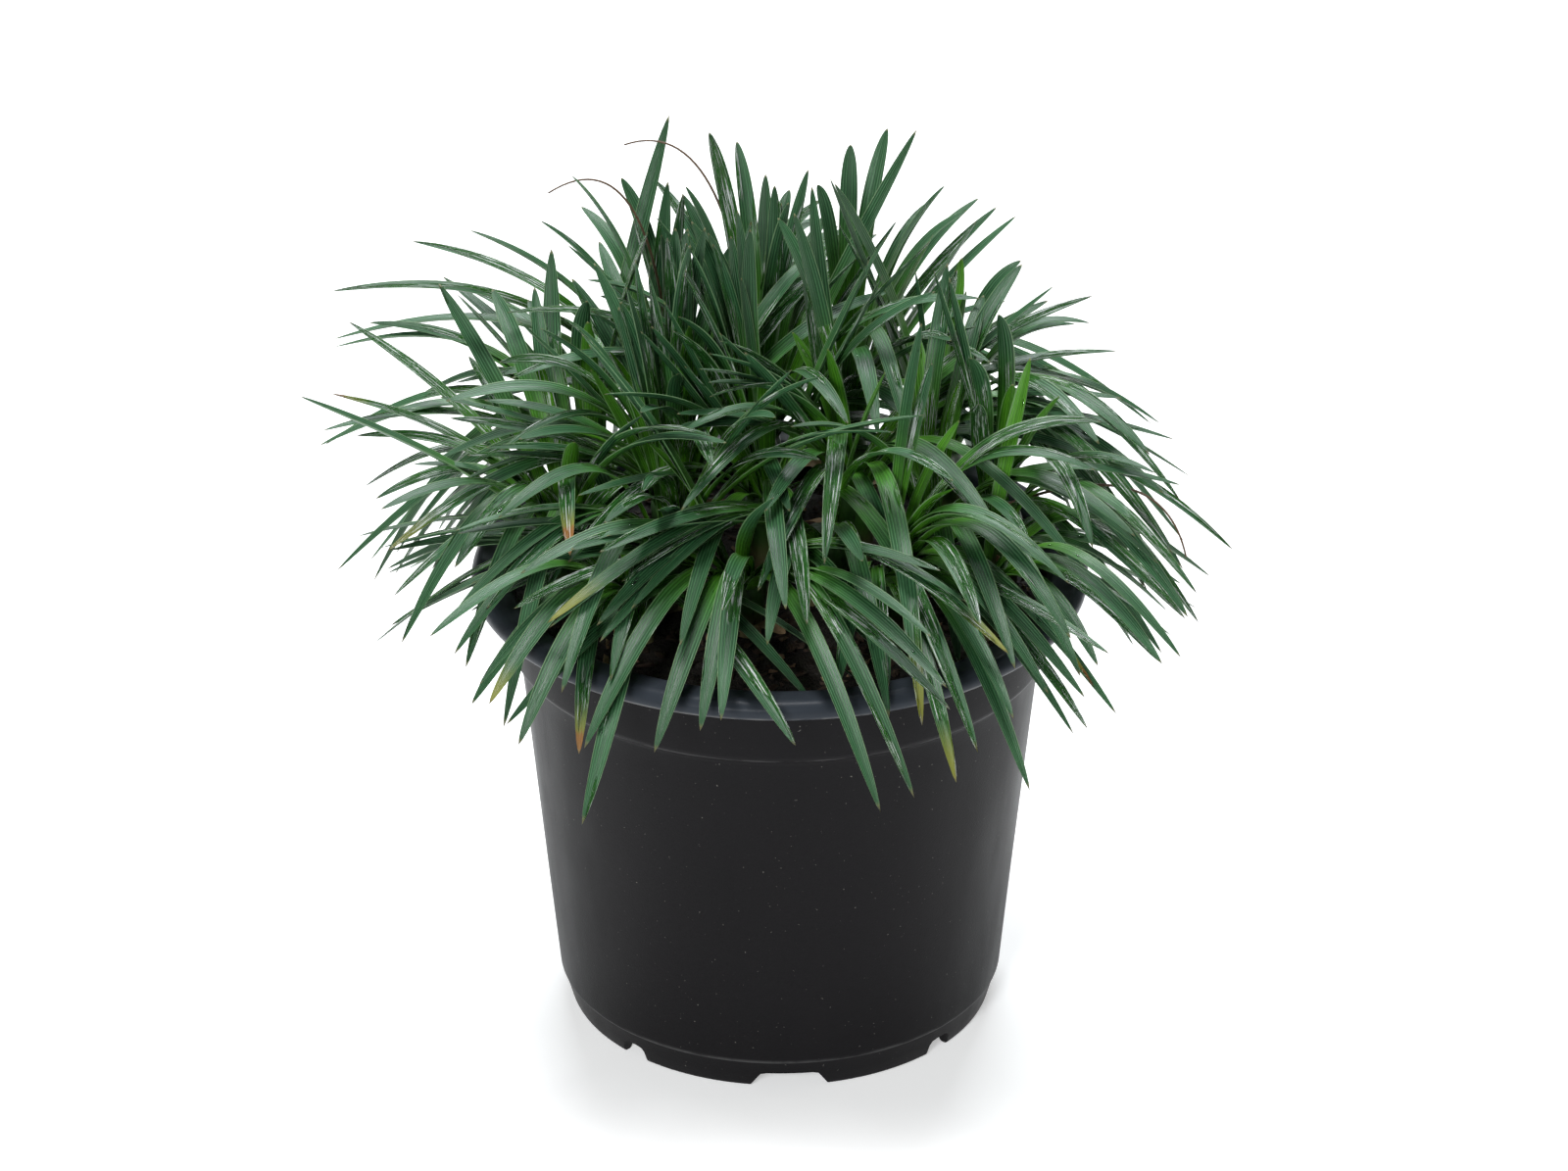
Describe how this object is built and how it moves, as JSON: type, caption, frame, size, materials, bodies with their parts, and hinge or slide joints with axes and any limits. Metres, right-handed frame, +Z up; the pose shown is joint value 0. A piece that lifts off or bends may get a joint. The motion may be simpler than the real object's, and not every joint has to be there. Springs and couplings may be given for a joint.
{
  "type": "potted dwarf mondo grass",
  "caption": "Clump of dwarf mondo grass, with arching dark green strap leaves in a dense low dome, growing in a round black plastic nursery pot.",
  "frame": {"origin": "on the ground under the middle of the plant, on the pot's axis", "axes": "+Z up along the pot's axis, -Y towards the side that the picture shows, +X to the right there"},
  "size_m": [0.1938, 0.171, 0.179],
  "materials": {
    "pot_plastic": "charcoal black moulded polypropylene, satin, with light scuffs and dust",
    "potting_mix": "damp, dark, rough mix of bark and peat with a few pale bits",
    "leaf": "satin dark blue-green blades with fine lengthwise veins and bright green bases"
  },
  "bodies": {
    "root": {"pot": "pot_plastic", "potting_mix": "potting_mix", "tuft_front_left": "leaf", "tuft_front": "leaf", "tuft_front_right": "leaf", "tuft_right_front": "leaf", "tuft_centre": "leaf", "tuft_centre_left": "leaf", "tuft_centre_right": "leaf", "tuft_middle": "leaf", "tuft_middle_right": "leaf", "tuft_middle_left": "leaf", "tuft_left": "leaf", "tuft_back_left": "leaf", "tuft_back_middle_left": "leaf", "tuft_back_middle": "leaf", "tuft_back": "leaf", "tuft_back_right": "leaf", "tuft_right": "leaf"}
  },
  "joints": []
}
